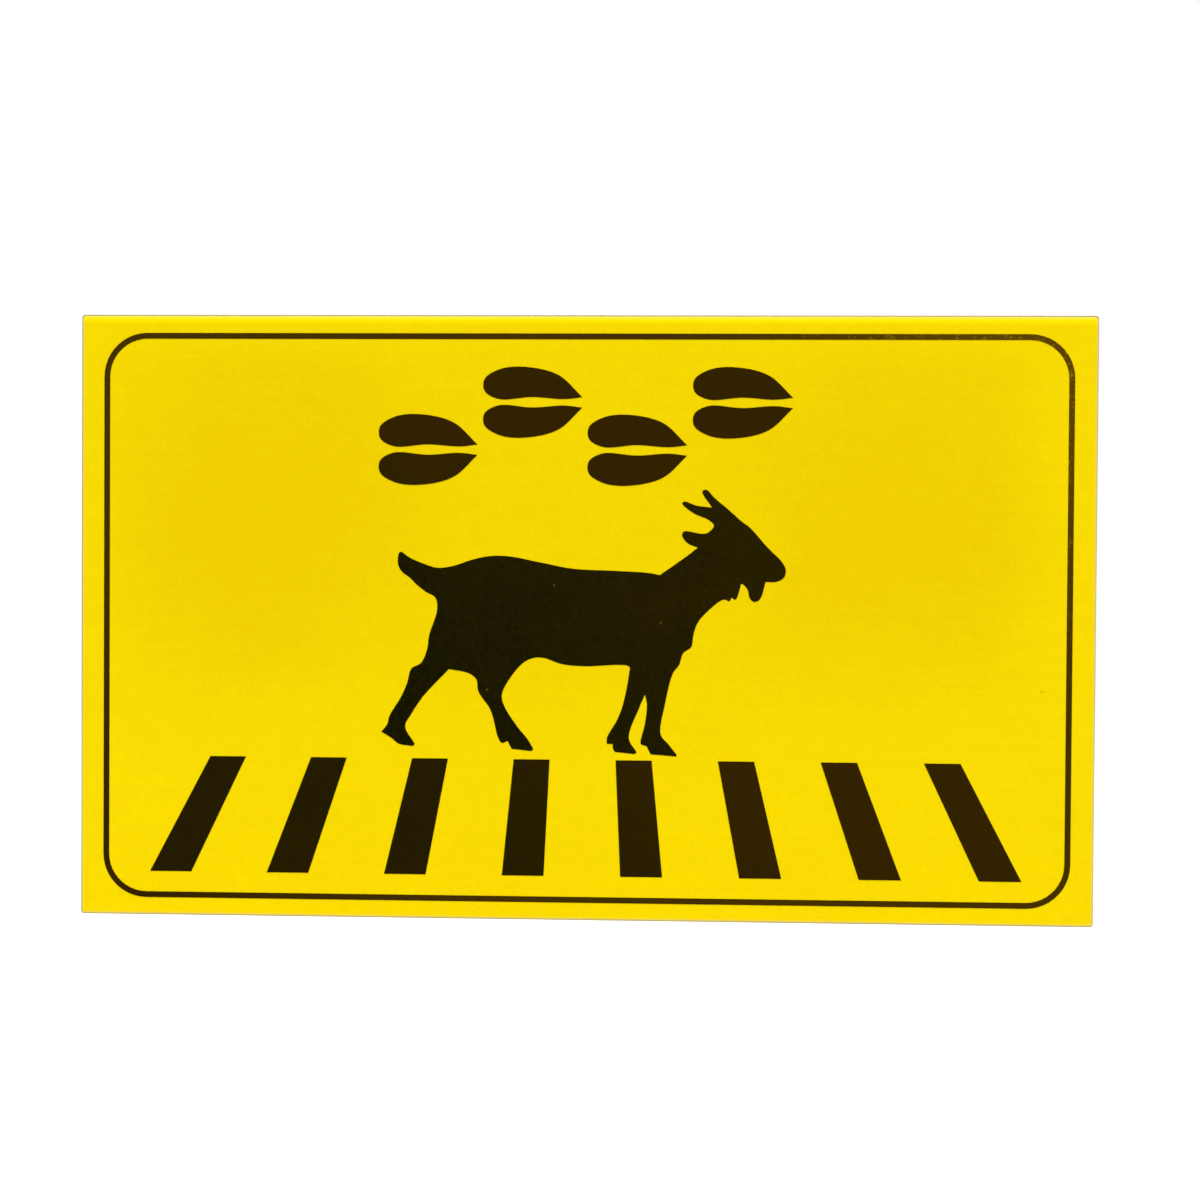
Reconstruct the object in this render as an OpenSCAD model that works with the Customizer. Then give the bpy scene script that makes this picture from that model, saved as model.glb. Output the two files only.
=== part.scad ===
// Goat crossing sign: one flat plastic plate with a rolled top edge, printed in black
// on its yellow front. Millimetres. X runs along the width, Z is up and the front
// faces -Y. The origin is the middle of the back face, where the sign is fixed.

/* [Plate] */
// Width of the plate
plate_w = 254; // [220:0.5:320]
// Height of the plate
plate_h = 151.5; // [135:0.5:200]
// Thickness of the plate
plate_t = 3; // [2.4:0.1:6]
// Radius of the four corners, seen from the front
corner_r = 1; // [0.5:0.1:3]
// Radius that takes the sharpness off the edges of the plate
arris_r = 0.4; // [0.1:0.05:0.8]

/* [Rolled top edge] */
// How far below the top of the plate its front starts to roll back
roll_len = 2.6; // [2:0.1:6]
// How far back the rolled front would be at the top of the plate
roll_drop = 0.75; // [0.3:0.05:1.2]
// Radius of the nose between the rolled front and the top
nose_r = 1.6; // [0.8:0.1:2]

/* [Ink] */
// Thickness of the printed film
ink_t = 0.08; // [0.05:0.01:0.3]

/* [Border line] */
// Width of the line
line_w = 1.45; // [0.6:0.05:3]
// Outer radius of the line at its corners
line_r = 11; // [5:0.5:20]
// From the side of the plate to the line
line_side = 5.8; // [3:0.1:12]
// From the bottom of the plate to the line
line_bottom = 4.4; // [3:0.1:12]
// From the start of the rolled edge to the line
line_roll_gap = 2.15; // [0.2:0.05:6]

/* [Crossing stripes] */
// Number of stripes
stripe_count = 8; // [4:1:14]
// Width of a stripe at its foot
stripe_w = 10.5; // [6:0.5:14]
// Height of the band of stripes
stripe_h = 29.2; // [20:0.1:36]
// How much narrower the far side of the crossing looks, over the near side
stripe_taper = 0.86; // [0.7:0.01:1]
// From the border line to the first and last stripe
stripe_side = 10.5; // [5:0.5:20]
// From the border line up to the feet of the stripes
stripe_bottom = 5.2; // [3:0.1:10]

/* [Hoofprints] */
// Number of prints in the trail
print_count = 4; // [2:1:6]
// Length of one hoofprint
print_len = 25; // [18:0.5:30]
// Width of one hoofprint over both toes
print_w = 17.6; // [14:0.2:22]
// Gap between the two toes
toe_gap = 1.6; // [1:0.1:3]
// From one print to the next along the trail
print_pitch = 26.2; // [22:0.2:34]
// From the line of the left prints up to the line of the right prints
print_stagger = 11.9; // [8:0.1:16]
// From the border line down to the highest print
print_top = 6.9; // [4:0.1:12]

/* [Goat] */
// From the tops of the stripes up to the hooves
hoof_gap = 1.1; // [0.5:0.1:4]
// From the tips of the horns up to the lowest print
horn_gap = 0.9; // [0.5:0.1:4]
// From the middle of the plate to the right, to the middle of the goat
goat_shift = 0.1; // [-20:0.1:20]
// Longest straight step along a printed curve
curve_step = 1; // [0.5:0.1:2]

/* [Hidden] */
$fn = 96;

yellow = "#f4d705";
ink = "#1c1600";

// How far a cutter reaches past what it cuts
over = 1;
// Radius of the roll, which leaves the flat front without a kink
roll_r = (roll_len * roll_len + roll_drop * roll_drop) / (2 * roll_drop);

// The border line's box, and the clear room inside it
line_left = -plate_w / 2 + line_side;
line_foot = -plate_h / 2 + line_bottom;
line_top = plate_h / 2 - roll_len - line_roll_gap;
line_h = line_top - line_foot;
line_mid = (line_top + line_foot) / 2;
room_left = line_left + line_w;
room_foot = line_foot + line_w;
room_top = line_top - line_w;

// The crossing, the trail and the goat share the height of that room
stripe_foot = room_foot + stripe_bottom;
stripe_top = stripe_foot + stripe_h;
stripe_pitch = (-2 * (room_left + stripe_side) - stripe_w) / (stripe_count - 1);
trail_h = print_w + print_stagger;
trail_mid = room_top - print_top - trail_h / 2;
goat_foot = stripe_top + hoof_gap;
goat_h = trail_mid - trail_h / 2 - horn_gap - goat_foot;

// The goat as drawn, in half millimetres: X from the middle of the goat, Z from the
// ground. A third number, 1, marks a sharp corner, and the outline runs smoothly
// through every other point, clockwise from the tip of the tail.
drawn_h = 134;
tail_and_back = [
    [-93, 102], [-88, 99], [-81, 96], [-74, 94], [-66, 95], [-57, 98],
    [-48, 100], [-38, 100], [-22, 97], [-6, 94], [16, 93], [33, 92]
];
neck = [[38, 91, 1], [52, 101]];
ear = [[57, 105, 1], [52, 107], [49, 111], [50, 113], [61, 112]];
lower_horn = [[65, 116], [62, 119], [55, 122], [49, 127], [50, 128], [56, 126]];
upper_horn = [[64, 125, 1], [59, 133], [61, 134], [65, 130]];
face = [
    [71, 125], [79, 118], [83, 115], [92, 105], [99, 98], [101, 94], [100, 90], [96, 88]
];
beard = [[91, 88, 1], [88, 79], [85, 78], [83, 80], [82, 84], [79, 87], [78, 84]];
throat = [[76, 79], [74, 80, 1], [73, 78, 1], [70, 79]];
chest = [[61, 72], [57, 67], [55, 61], [54, 55], [50, 52], [48, 46], [45, 42]];
near_foreleg = [
    [41, 26], [39, 11], [43, 6], [47, 1, 1], [47, 0, 1], [34, 1, 1],
    [32, 5, 1], [29, 6, 1], [29, 8], [31, 16], [32, 26]
];
far_foreleg = [
    [31, 31, 1], [28, 24], [23, 9], [27, 2, 1], [26, 1, 1], [16, 2, 1],
    [15, 4], [15, 6, 1], [12, 6, 1], [12, 9], [17, 18], [20, 26]
];
belly = [[23, 42], [23, 45], [0, 45], [-11, 46], [-20, 49], [-25, 49]];
near_hind_leg = [
    [-31, 46], [-41, 31], [-40, 25], [-33, 14], [-28, 8], [-25, 3, 1], [-26, 2, 1],
    [-36, 3, 1], [-38, 7, 1], [-41, 6], [-43, 9], [-45, 17], [-47, 23], [-53, 32]
];
udder = [[-54, 38], [-58, 41], [-68, 43, 1]];
far_hind_leg = [
    [-81, 29], [-87, 20], [-90, 14], [-85, 5, 1], [-86, 4, 1], [-93, 5],
    [-97, 8], [-102, 11, 1], [-99, 15], [-98, 19], [-92, 29], [-89, 36]
];
rump = [[-87, 43], [-82, 46], [-79, 53], [-78, 60], [-74, 73], [-75, 79]];
tail_root = [[-80, 82], [-85, 86], [-88, 89], [-92, 92], [-94, 96]];
goat_points = concat(
    tail_and_back, neck, ear, lower_horn, upper_horn, face, beard, throat, chest,
    near_foreleg, far_foreleg, belly, near_hind_leg, udder, far_hind_leg, rump, tail_root
);

// One toe of a hoofprint that points along +X, in half millimetres as drawn: X from
// the middle of the print, Z from the inner side of the toe
drawn_toe_len = 50;
drawn_toe_w = 16;
toe_points = [
    [25, 1, 1], [16, 0], [0, 1], [-17, 0], [-24, 4], [-24, 10], [-16, 15], [-3, 16], [13, 12]
];

// A smooth curve through closed points: each step is blended from four of them,
// spaced by the square root of their distance so that short spans stay calm.
least_steps = 4;
function at(p, i) = p[(i + len(p)) % len(p)];
function flat(q) = [q.x, q.y];
function is_corner(q) = len(q) == 3;
function knot(a, b) = sqrt(norm(b - a));
function blend(a, b, ta, tb, t) = (a * (tb - t) + b * (t - ta)) / (tb - ta);
function curve_point(a, b, c, d, s) =
    let (
        tb = knot(a, b),
        tc = tb + knot(b, c),
        td = tc + knot(c, d),
        t = tb + (tc - tb) * s,
        ab = blend(a, b, 0, tb, t),
        bc = blend(b, c, tb, tc, t),
        cd = blend(c, d, tc, td, t)
    )
    blend(blend(ab, bc, 0, tc, t), blend(bc, cd, tb, td, t), tb, tc, t);
function smooth(p, step) = [
    for (i = [0 : len(p) - 1])
        let (
            b = flat(p[i]),
            c = flat(at(p, i + 1)),
            a = is_corner(p[i]) ? 2 * b - c : flat(at(p, i - 1)),
            d = is_corner(at(p, i + 1)) ? 2 * c - b : flat(at(p, i + 2)),
            straight = is_corner(p[i]) && is_corner(at(p, i + 1)),
            steps = straight ? 1 : max(least_steps, ceil(norm(c - b) / step))
        )
        for (k = [0 : steps - 1])
            curve_point(a, b, c, d, k / steps)
];

// What a radius takes off a corner that lies at the origin and points to +X +Y
module round_off(r) {
    difference() {
        translate([-r, -r]) square(r + over);
        translate([-r, -r]) circle(r);
    }
}

// A rectangle on its middle, with one radius at all four corners
module rounded_rectangle(w, h, r) {
    difference() {
        square([w, h], center = true);
        for (right = [0, 1], top = [0, 1])
            mirror([1 - right, 0]) mirror([0, 1 - top])
                translate([w / 2, h / 2]) round_off(r);
    }
}

// The plate cut across its width: X is depth from the front, Y is height
module side_section() {
    difference() {
        translate([0, -plate_h / 2]) square([plate_t, plate_h]);
        translate([0, plate_h / 2]) mirror([1, 0]) round_off(nose_r);
        translate([0, -plate_h / 2]) mirror([1, 0]) mirror([0, 1]) round_off(arris_r);
        translate([plate_t, -plate_h / 2]) mirror([0, 1]) round_off(arris_r);
        translate([plate_t, plate_h / 2]) round_off(arris_r);
        translate([0, plate_h / 2 - roll_len]) difference() {
            translate([-over, 0]) square([over + roll_r, roll_len + over]);
            translate([roll_r, 0]) circle(roll_r);
        }
    }
}

// Lays a flat drawing on the front of the plate as a film of ink
module print_film() {
    color(ink)
        translate([0, -plate_t, 0]) rotate([90, 0, 0]) linear_extrude(ink_t) children();
}

module sign_plate() {
    color(yellow) intersection() {
        rotate([90, 0, 0]) linear_extrude(plate_t)
            rounded_rectangle(plate_w, plate_h, corner_r);
        translate([0, -plate_t / 2, -plate_h / 2 - over])
            linear_extrude(plate_h + 2 * over) rounded_rectangle(plate_w, plate_t, arris_r);
        translate([-plate_w / 2 - over, -plate_t, 0])
            rotate([90, 0, 90]) linear_extrude(plate_w + 2 * over) side_section();
    }
}

module border_line() {
    print_film() translate([0, line_mid]) difference() {
        rounded_rectangle(-2 * line_left, line_h, line_r);
        rounded_rectangle(-2 * room_left, line_h - 2 * line_w, line_r - line_w);
    }
}

module hoofprint() {
    long = print_len / drawn_toe_len;
    wide = (print_w - toe_gap) / 2 / drawn_toe_w;
    toe = [
        for (q = smooth(toe_points, curve_step / long)) [q.x * long, toe_gap / 2 + q.y * wide]
    ];
    for (side = [0, 1]) mirror([0, side]) polygon(toe);
}

module hoofprints() {
    print_film() for (i = [0 : print_count - 1])
        translate([
            (i - (print_count - 1) / 2) * print_pitch,
            trail_mid + (i % 2 == 0 ? -1 : 1) * print_stagger / 2
        ]) hoofprint();
}

module goat_silhouette() {
    size = goat_h / drawn_h;
    print_film() translate([goat_shift, goat_foot])
        polygon([for (q = smooth(goat_points, curve_step / size)) q * size]);
}

module crossing_stripes() {
    print_film() for (i = [0 : stripe_count - 1]) {
        mid = (i - (stripe_count - 1) / 2) * stripe_pitch;
        half = stripe_w / 2;
        polygon([
            [mid - half, stripe_foot],
            [mid + half, stripe_foot],
            [(mid + half) * stripe_taper, stripe_top],
            [(mid - half) * stripe_taper, stripe_top]
        ]);
    }
}

sign_plate();
border_line();
hoofprints();
goat_silhouette();
crossing_stripes();
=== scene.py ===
# Goat crossing sign: its finish and its studio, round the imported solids. Metres, Z up,
# with the front facing -Y and the back on Y = 0.
from math import radians

import bpy
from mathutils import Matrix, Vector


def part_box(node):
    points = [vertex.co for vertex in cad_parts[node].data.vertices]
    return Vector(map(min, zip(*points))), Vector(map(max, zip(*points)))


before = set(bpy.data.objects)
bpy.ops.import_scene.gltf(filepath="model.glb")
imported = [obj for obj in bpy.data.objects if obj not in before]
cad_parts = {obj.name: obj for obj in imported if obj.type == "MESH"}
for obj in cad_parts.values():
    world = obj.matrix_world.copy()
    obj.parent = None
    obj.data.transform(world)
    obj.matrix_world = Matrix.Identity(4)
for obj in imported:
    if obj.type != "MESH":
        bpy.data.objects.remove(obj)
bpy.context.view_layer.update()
bpy.ops.object.select_all(action="DESELECT")

# The camera. It stands about 45 cm in front of the sign, a little to the right of its
# middle and nearly level with it, so that the right side looks a touch taller.
lens = bpy.data.cameras.new("camera")
lens.lens = 54.2
lens.clip_start = 0.01
camera = bpy.data.objects.new("camera", lens)
camera.location = (0.02144, -0.4540, 0.0130)
camera.rotation_euler = (radians(89.12), radians(-0.37), radians(2.206))
bpy.context.scene.collection.objects.link(camera)
bpy.context.scene.camera = camera


# The plate. One sheet of high-impact polystyrene, coloured right through, extruded
# between satin rollers and cut with a die that rolled its top edge back.
def linear(code):
    """The linear colour of an sRGB hex code."""
    parts = [int(code[i:i + 2], 16) / 255 for i in (1, 3, 5)]
    return [p / 12.92 if p <= 0.04045 else ((p + 0.055) / 1.055) ** 2.4 for p in parts] + [1]


def add(block, kind, sockets, **settings):
    """Adds a node to a material or world and sets it up. A tuple fills the sockets in use
    in their order, and a dict fills them by name, with values, hex colours, outputs or
    nodes. A node stands for its first output in use."""
    made = block.node_tree.nodes.new("ShaderNode" + kind)
    for name, value in settings.items():
        setattr(made, name, value)
    if isinstance(sockets, tuple):
        pairs = zip([socket for socket in made.inputs if socket.enabled], sockets)
    else:
        pairs = [(made.inputs[name], value) for name, value in sockets.items()]
    for socket, value in pairs:
        if isinstance(value, bpy.types.Node):
            value = [output for output in value.outputs if output.enabled][0]
        if isinstance(value, bpy.types.NodeSocket):
            block.node_tree.links.new(value, socket)
        else:
            socket.default_value = linear(value) if isinstance(value, str) else value
    return made


def emptied(block):
    """A new material or world, with no nodes in it."""
    block.use_nodes = True
    block.node_tree.nodes.clear()
    return block


# Settings for a soft step from one value to another, and for a blend of two colours
soft = {"interpolation_type": "SMOOTHSTEP"}
colours = {"data_type": "RGBA"}


def uneven(block, value, patterns):
    """The value, raised and lowered by each noise pattern in turn, by its share."""
    for pattern, share in patterns:
        centred = add(block, "Math", (pattern, 0.5), operation="SUBTRACT")
        change = add(block, "Math", (centred, share), operation="MULTIPLY")
        value = add(block, "Math", (value, change), operation="ADD")
    return value


# The corners, the dulled edges and the rolled edge have the sizes that the solid has
plate_low, plate_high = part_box("sign_plate")
half_w = plate_high.x
half_h = plate_high.z
corner_r = 0.001
arris_r = 0.0004
roll_len = 0.0026

# Its polystyrene. To the eye it is a warm, matt yellow with a fine tooth and faint lines
# along the extrusion. Painted shade gives it a pale, dulled rim where it was cut and a
# deeper upper half, and painted highlights lie on the rolled edge and in faint glints.
sheet = emptied(bpy.data.materials.new("satin_polystyrene_sheet"))
place = add(sheet, "TexCoord", {}).outputs["Object"]
along = add(sheet, "SeparateXYZ", (place,)).outputs
folded = add(sheet, "VectorMath", (place,), operation="ABSOLUTE")

# Painted shade: the upper half is painted a shade deeper, most so in two soft patches
# that mirror each other. The painted shade comes in over a stretch at each side, at the
# top and below the middle.
left_fade = (-0.136, -0.112)
right_fade = (0.097, 0.134)
top_fade = (0.060, half_h)
foot_fade = (-0.055, -0.002)
patch_at = (0.079, 0, 0.030)
patch_r = 0.062
sideways = add(sheet, "SeparateXYZ", (folded,)).outputs["X"]
beside = add(sheet, "CombineXYZ", {"X": sideways, "Z": along["Z"]})
from_patch = add(sheet, "VectorMath", (beside, patch_at), operation="DISTANCE")
painted_shade = add(sheet, "MapRange", (along["X"], *left_fade, 0, 1), **soft)
for fade in (
    (along["X"], *right_fade, 1, 0),
    (along["Z"], *top_fade, 1, 0.4),
    (along["Z"], *foot_fade, 0, 1),
    (from_patch, 0, patch_r, 1, 0.42),
):
    share = add(sheet, "MapRange", fade, **soft)
    painted_shade = add(sheet, "Math", (painted_shade, share), operation="MULTIPLY")
tone = add(sheet, "MapRange", (painted_shade, 0, 1, 0.3, 1), **soft)

# The rollers' own tooth is too fine to show, so it is drawn 0.9 mm across. The die's lines
# are 1.8 mm wide and run along X. Unevenly mixed pigment gives the mottle and the clouds.
tooth_size = 0.0009
tooth_range = (0.2, 0.8)
die_line_w = 0.0018
die_line_len = 0.050
mottle_size = 0.004
cloud_size = 0.035
tooth = add(sheet, "TexNoise", {"Vector": place, "Scale": 1 / tooth_size, "Detail": 2})
stretched = (1 / die_line_len, 1, 1 / die_line_w)
die = add(sheet, "VectorMath", (place, stretched), operation="MULTIPLY")
die_lines = add(sheet, "TexNoise", {"Vector": die, "Scale": 1, "Detail": 2})
mottle = add(sheet, "TexNoise", {"Vector": place, "Scale": 1 / mottle_size, "Detail": 3})
clouds = add(sheet, "TexNoise", {"Vector": place, "Scale": 1 / cloud_size, "Detail": 2})
tone = uneven(sheet, tone, ((tooth, 0.56), (die_lines, 0.35), (mottle, 0.35), (clouds, 0.35)))
# The yellow goes deeper by tone, which holds the painted shade of the upper half and the grain
colour = add(sheet, "Mix", (tone, "#fde100", "#f0d000"), **colours)

# Painted highlights: faint glints, as where the tooth stands proud, lie some 6 mm apart,
# each of its own strength. A glint is full to 0.03 of that gap from its middle, and gone
# at 0.08 of it.
glint_gap = 0.006
glint_fade = (0.03, 0.08)
front = add(sheet, "CombineXYZ", {"X": along["X"], "Y": along["Z"]})
cells = {"Vector": front, "Scale": 1 / glint_gap}
glints = add(sheet, "TexVoronoi", cells, voronoi_dimensions="2D").outputs
dot = add(sheet, "MapRange", (glints["Distance"], *glint_fade, 0.12, 0), **soft)
luck = add(sheet, "SeparateXYZ", (glints["Color"],)).outputs["X"]
painted_glint = add(sheet, "Math", (dot, luck), operation="MULTIPLY")
colour = add(sheet, "Mix", (painted_glint, colour, "#fff04a"), **colours)


def speck(block, place, colour, at, radii, strength, tint):
    """A soft spot on the front at that X and Z, full to one radius and gone at the other."""
    middle = (at[0], plate_low.y, at[1])
    away = add(block, "VectorMath", (place, middle), operation="DISTANCE")
    share = add(block, "MapRange", (away, *radii, strength, 0), **soft)
    return add(block, "Mix", (share, colour, tint), **colours)


# One fleck of darker pigment, to the right of the goat
fleck_at = (0.1138, -0.0174)
colour = speck(
    sheet, place, colour, fleck_at, radii=(0.0001, 0.0006), strength=0.4, tint="#a08000"
)

# Painted highlight: the rolled edge is painted a paler yellow
rolled = (half_h - roll_len, half_h - roll_len / 2)
rolled_band = add(sheet, "MapRange", (along["Z"], *rolled, 0, 1), **soft)
colour = add(sheet, "Mix", (rolled_band, colour, "#fce300"), **colours)

# Painted shade: a pale, greyish band dies away within a millimetre of the outline. It is
# browner along the top, where a fainter and yellower painted highlight also reaches 1.3 mm down.
inner = (half_w - corner_r, 0, half_h - corner_r)
flat = add(sheet, "VectorMath", (folded, (1, 0, 1)), operation="MULTIPLY")
past = add(sheet, "VectorMath", (flat, inner), operation="SUBTRACT")
beyond = add(sheet, "VectorMath", (past, (0, 0, 0)), operation="MAXIMUM")
to_side = add(sheet, "VectorMath", (beyond,), operation="LENGTH")
outline_shade_fall = 2.2
top_highlight_h = 0.0013
top_painted_highlight = add(sheet, "MapRange", (along["Z"], half_h - top_highlight_h, half_h, 0, 0.3), **soft)
colour = add(sheet, "Mix", (top_painted_highlight, colour, "#fff59a"), **colours)
nearness = add(sheet, "Math", (to_side, corner_r), operation="DIVIDE")
outline_shade = add(sheet, "Math", (nearness, outline_shade_fall), operation="POWER")
at_top = add(sheet, "MapRange", (along["Z"], half_h - corner_r, half_h - arris_r, 0, 1), **soft)
outline_shade_colour = add(sheet, "Mix", (at_top, "#d3c49a", "#a5976a"), **colours)
colour = add(sheet, "Mix", (outline_shade, colour, outline_shade_colour), **colours)

# Painted shade on the dulled edge itself, darkest at the top and then at the left
at_left = add(sheet, "MapRange", (along["X"], -half_w, corner_r - half_w, 1, 0), **soft)
rim_shade_colour = add(sheet, "Mix", (at_left, "#d2c284", "#9c8c5e"), **colours)
rim_shade_colour = add(sheet, "Mix", (at_top, rim_shade_colour, "#665b3a"), **colours)
rim_fade = (corner_r - arris_r, corner_r - arris_r / 2)
rim = add(sheet, "MapRange", (to_side, *rim_fade, 0, 1), **soft)
rim_unevenness = add(sheet, "MapRange", (tooth, *tooth_range, 0.85, 1), **soft)
painted_rim_shade = add(sheet, "Math", (rim, rim_unevenness), operation="MULTIPLY")
colour = add(sheet, "Mix", (painted_rim_shade, colour, rim_shade_colour), **colours)

# The cut sides are a paler yellow
side_fade = (corner_r - arris_r / 8, corner_r - arris_r / 40)
side = add(sheet, "MapRange", (to_side, *side_fade, 0, 1), **soft)
colour = add(sheet, "Mix", (side, colour, "#ecd24a"), **colours)

# The die burnished the rolled edge, so that its gloss is sharper there. The satin face
# mirrors next to nothing, so its specular level is far below that of a polished sheet.
tooth_depth = 0.00006
burnished = add(sheet, "MapRange", (rolled_band, 0, 1, 1, 0.6), **soft)
tooth_gloss = add(sheet, "MapRange", (tooth, *tooth_range, 0.4, 0.52), **soft)
lines_relief = add(sheet, "Math", (die_lines, 0.2), operation="MULTIPLY")
relief = add(sheet, "Math", (tooth, lines_relief), operation="ADD")
surface = add(sheet, "BsdfPrincipled", {
    "Base Color": colour,
    "Roughness": add(sheet, "Math", (tooth_gloss, burnished), operation="MULTIPLY"),
    "IOR": 1.55,
    "Specular IOR Level": 0.02,
    "Normal": add(sheet, "Bump", {"Height": relief, "Strength": 0.25, "Distance": tooth_depth}),
})
add(sheet, "OutputMaterial", {"Surface": surface})
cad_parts["sign_plate"].material_slots[0].material = sheet


# The goat. It is screen printed in one pass of solvent ink on the front of the sheet,
# a film that hides the yellow well and dries to a warm, matt black. Its tone goes paler
# from the lower left to the upper right.
def screen_ink(name, thick, thin, pales_over=(-0.11, 0.13), grain=0.5, dust=(), dry=None):
    """Dried screen ink, between the deep and pale tones given first. It goes paler between
    the two distances given next, towards the upper right. The mesh mottles it by grain,
    dust has the places of pinholes, and dry breaks the film up where it ran dry."""
    ink = emptied(bpy.data.materials.new(name))
    place = add(ink, "TexCoord", {}).outputs["Object"]
    # The way along which the ink's tone goes paler, towards the upper right
    paling_way = (0.75, 0, 0.66)
    along_paling = add(ink, "VectorMath", (place, paling_way), operation="DOT_PRODUCT")
    film = add(ink, "MapRange", (along_paling, *pales_over, 0, 1), **soft)
    # The film pools in 12 mm clouds, and the mesh mottles it. The mesh's own threads
    # are 0.25 mm apart, which is too fine to show, so its mottle is drawn at 0.9 mm.
    pool_size = 0.012
    mesh_size = 0.0009
    film_relief = 0.00003
    pools = add(ink, "TexNoise", {"Vector": place, "Scale": 1 / pool_size, "Detail": 3})
    mottle = add(ink, "TexNoise", {"Vector": place, "Scale": 1 / mesh_size, "Detail": 2})
    film = uneven(ink, film, ((pools, 0.35), (mottle, grain)))
    colour = add(ink, "Mix", (film, thick, thin), **colours)
    # Pinholes, where a speck of dust kept the ink off the sheet
    for at in dust:
        colour = speck(
            ink, place, colour, at, radii=(0.00015, 0.00045), strength=0.25, tint="#8a7c34"
        )
    if dry:
        colour = dry(ink, place, colour)
    surface = add(ink, "BsdfPrincipled", {
        "Base Color": colour,
        "Roughness": 0.5,
        "IOR": 1.5,
        "Specular IOR Level": 0.01,
        "Normal": add(ink, "Bump", {"Height": mottle, "Strength": 0.2, "Distance": film_relief}),
    })
    add(ink, "OutputMaterial", {"Surface": surface})
    return ink


pinholes = ((-0.0074, 0.0082), (0.0193, -0.0011), (-0.0241, -0.0181))
goat_ink = screen_ink("solvent_ink_solid", "#101100", "#2b2100", grain=1, dust=pinholes)
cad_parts["goat_silhouette"].material_slots[0].material = goat_ink

# The hoofprints above the goat and the crossing's stripes below it. They are the same
# ink in the same pass, but the film is thinner there and the yellow warms it to brown.
field_ink = screen_ink("solvent_ink_thin", "#221a00", "#312100", pales_over=(-0.06, 0.01))
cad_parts["hoofprints"].material_slots[0].material = field_ink
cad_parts["crossing_stripes"].material_slots[0].material = field_ink


# The line round the edge. The same ink again, and thinnest of all, so that it pales and
# breaks up towards the top right corner, where the squeegee ran dry.
def broken_ink(ink, place, colour):
    """Pales the film and breaks it up in 0.9 mm spots, wholly so within 2 cm of the corner
    and not at all past 10 cm."""
    spot_size = 0.0009
    dry_reach = (0.02, 0.10)
    corner = (half_w, plate_low.y, half_h)
    away = add(ink, "VectorMath", (place, corner), operation="DISTANCE")
    near = add(ink, "MapRange", (away, *dry_reach, 1, 0), **soft)
    pale = add(ink, "Mix", (near, colour, "#583f00"), **colours)
    spots = add(ink, "TexNoise", {"Vector": place, "Scale": 1 / spot_size, "Detail": 2})
    gaps = add(ink, "MapRange", (spots, 0.54, 0.7, 0, 0.65), **soft)
    breaks = add(ink, "Math", (gaps, near), operation="MULTIPLY")
    return add(ink, "Mix", (breaks, pale, "#8e7408"), **colours)


line_ink = screen_ink(
    "solvent_ink_line", "#322000", "#422e00", pales_over=(-0.135, -0.055), dry=broken_ink
)
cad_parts["border_line"].material_slots[0].material = line_ink


# The studio. A white floor under the lower edge, a wide soft light high in front, which
# also catches the rolled top edge, another behind, and an even grey light from all round.
def white_to(block):
    """Gives 1 to the rays that meet plain white: the camera's, and those in reflections."""
    rays = add(block, "LightPath", {}).outputs
    seen = rays["Is Camera Ray"]
    for kind in ("Is Glossy Ray", "Is Transmission Ray"):
        seen = add(block, "Math", (seen, rays[kind]), operation="MAXIMUM")
    return seen


# The floor is lit and shaded near the sign, and plain white far from it
shaded_to = 0.25
white_from = 0.9
bpy.ops.mesh.primitive_circle_add(
    vertices=96, radius=4, fill_type="NGON", location=(0, 0, plate_low.z)
)
floor = bpy.context.object
floor.name = "floor"
floor_paint = emptied(bpy.data.materials.new("white_studio_floor"))
seen = white_to(floor_paint)
place = add(floor_paint, "TexCoord", {}).outputs["Object"]
reach = add(floor_paint, "VectorMath", (place,), operation="LENGTH")
far = add(floor_paint, "MapRange", (reach, shaded_to, white_from, 0, 1), **soft)
lift = add(floor_paint, "Math", (seen, 0.4), operation="MULTIPLY")
paint = add(floor_paint, "BsdfDiffuse", {"Color": "#dcdcdc"})
glow = add(floor_paint, "Emission", {"Color": (1, 1, 1, 1), "Strength": lift})
near_floor = add(floor_paint, "AddShader", (paint, glow))
far_floor = add(floor_paint, "Emission", {"Color": (1, 1, 1, 1), "Strength": 1})
far_seen = add(floor_paint, "Math", (far, seen), operation="MULTIPLY")
mixed = add(floor_paint, "MixShader", (far_seen, near_floor, far_floor))
add(floor_paint, "OutputMaterial", {"Surface": mixed})
floor.data.materials.append(floor_paint)

world = emptied(bpy.data.worlds.new("studio"))
around = add(world, "Background", {"Color": (1, 1, 1, 1), "Strength": 0.35})
white = add(world, "Background", {"Color": (1, 1, 1, 1), "Strength": 1})
sky = add(world, "MixShader", (white_to(world), around, white))
add(world, "OutputWorld", {"Surface": sky})
bpy.context.scene.world = world

for name, strength, lean in (("front_light", 2.58, 30), ("back_light", 1.3, -70)):
    light = bpy.data.lights.new(name, "SUN")
    light.energy = strength
    light.angle = radians(40)
    light_object = bpy.data.objects.new(name, light)
    light_object.rotation_euler = (radians(lean), 0, 0)
    bpy.context.scene.collection.objects.link(light_object)

bpy.context.scene.view_settings.view_transform = "Standard"
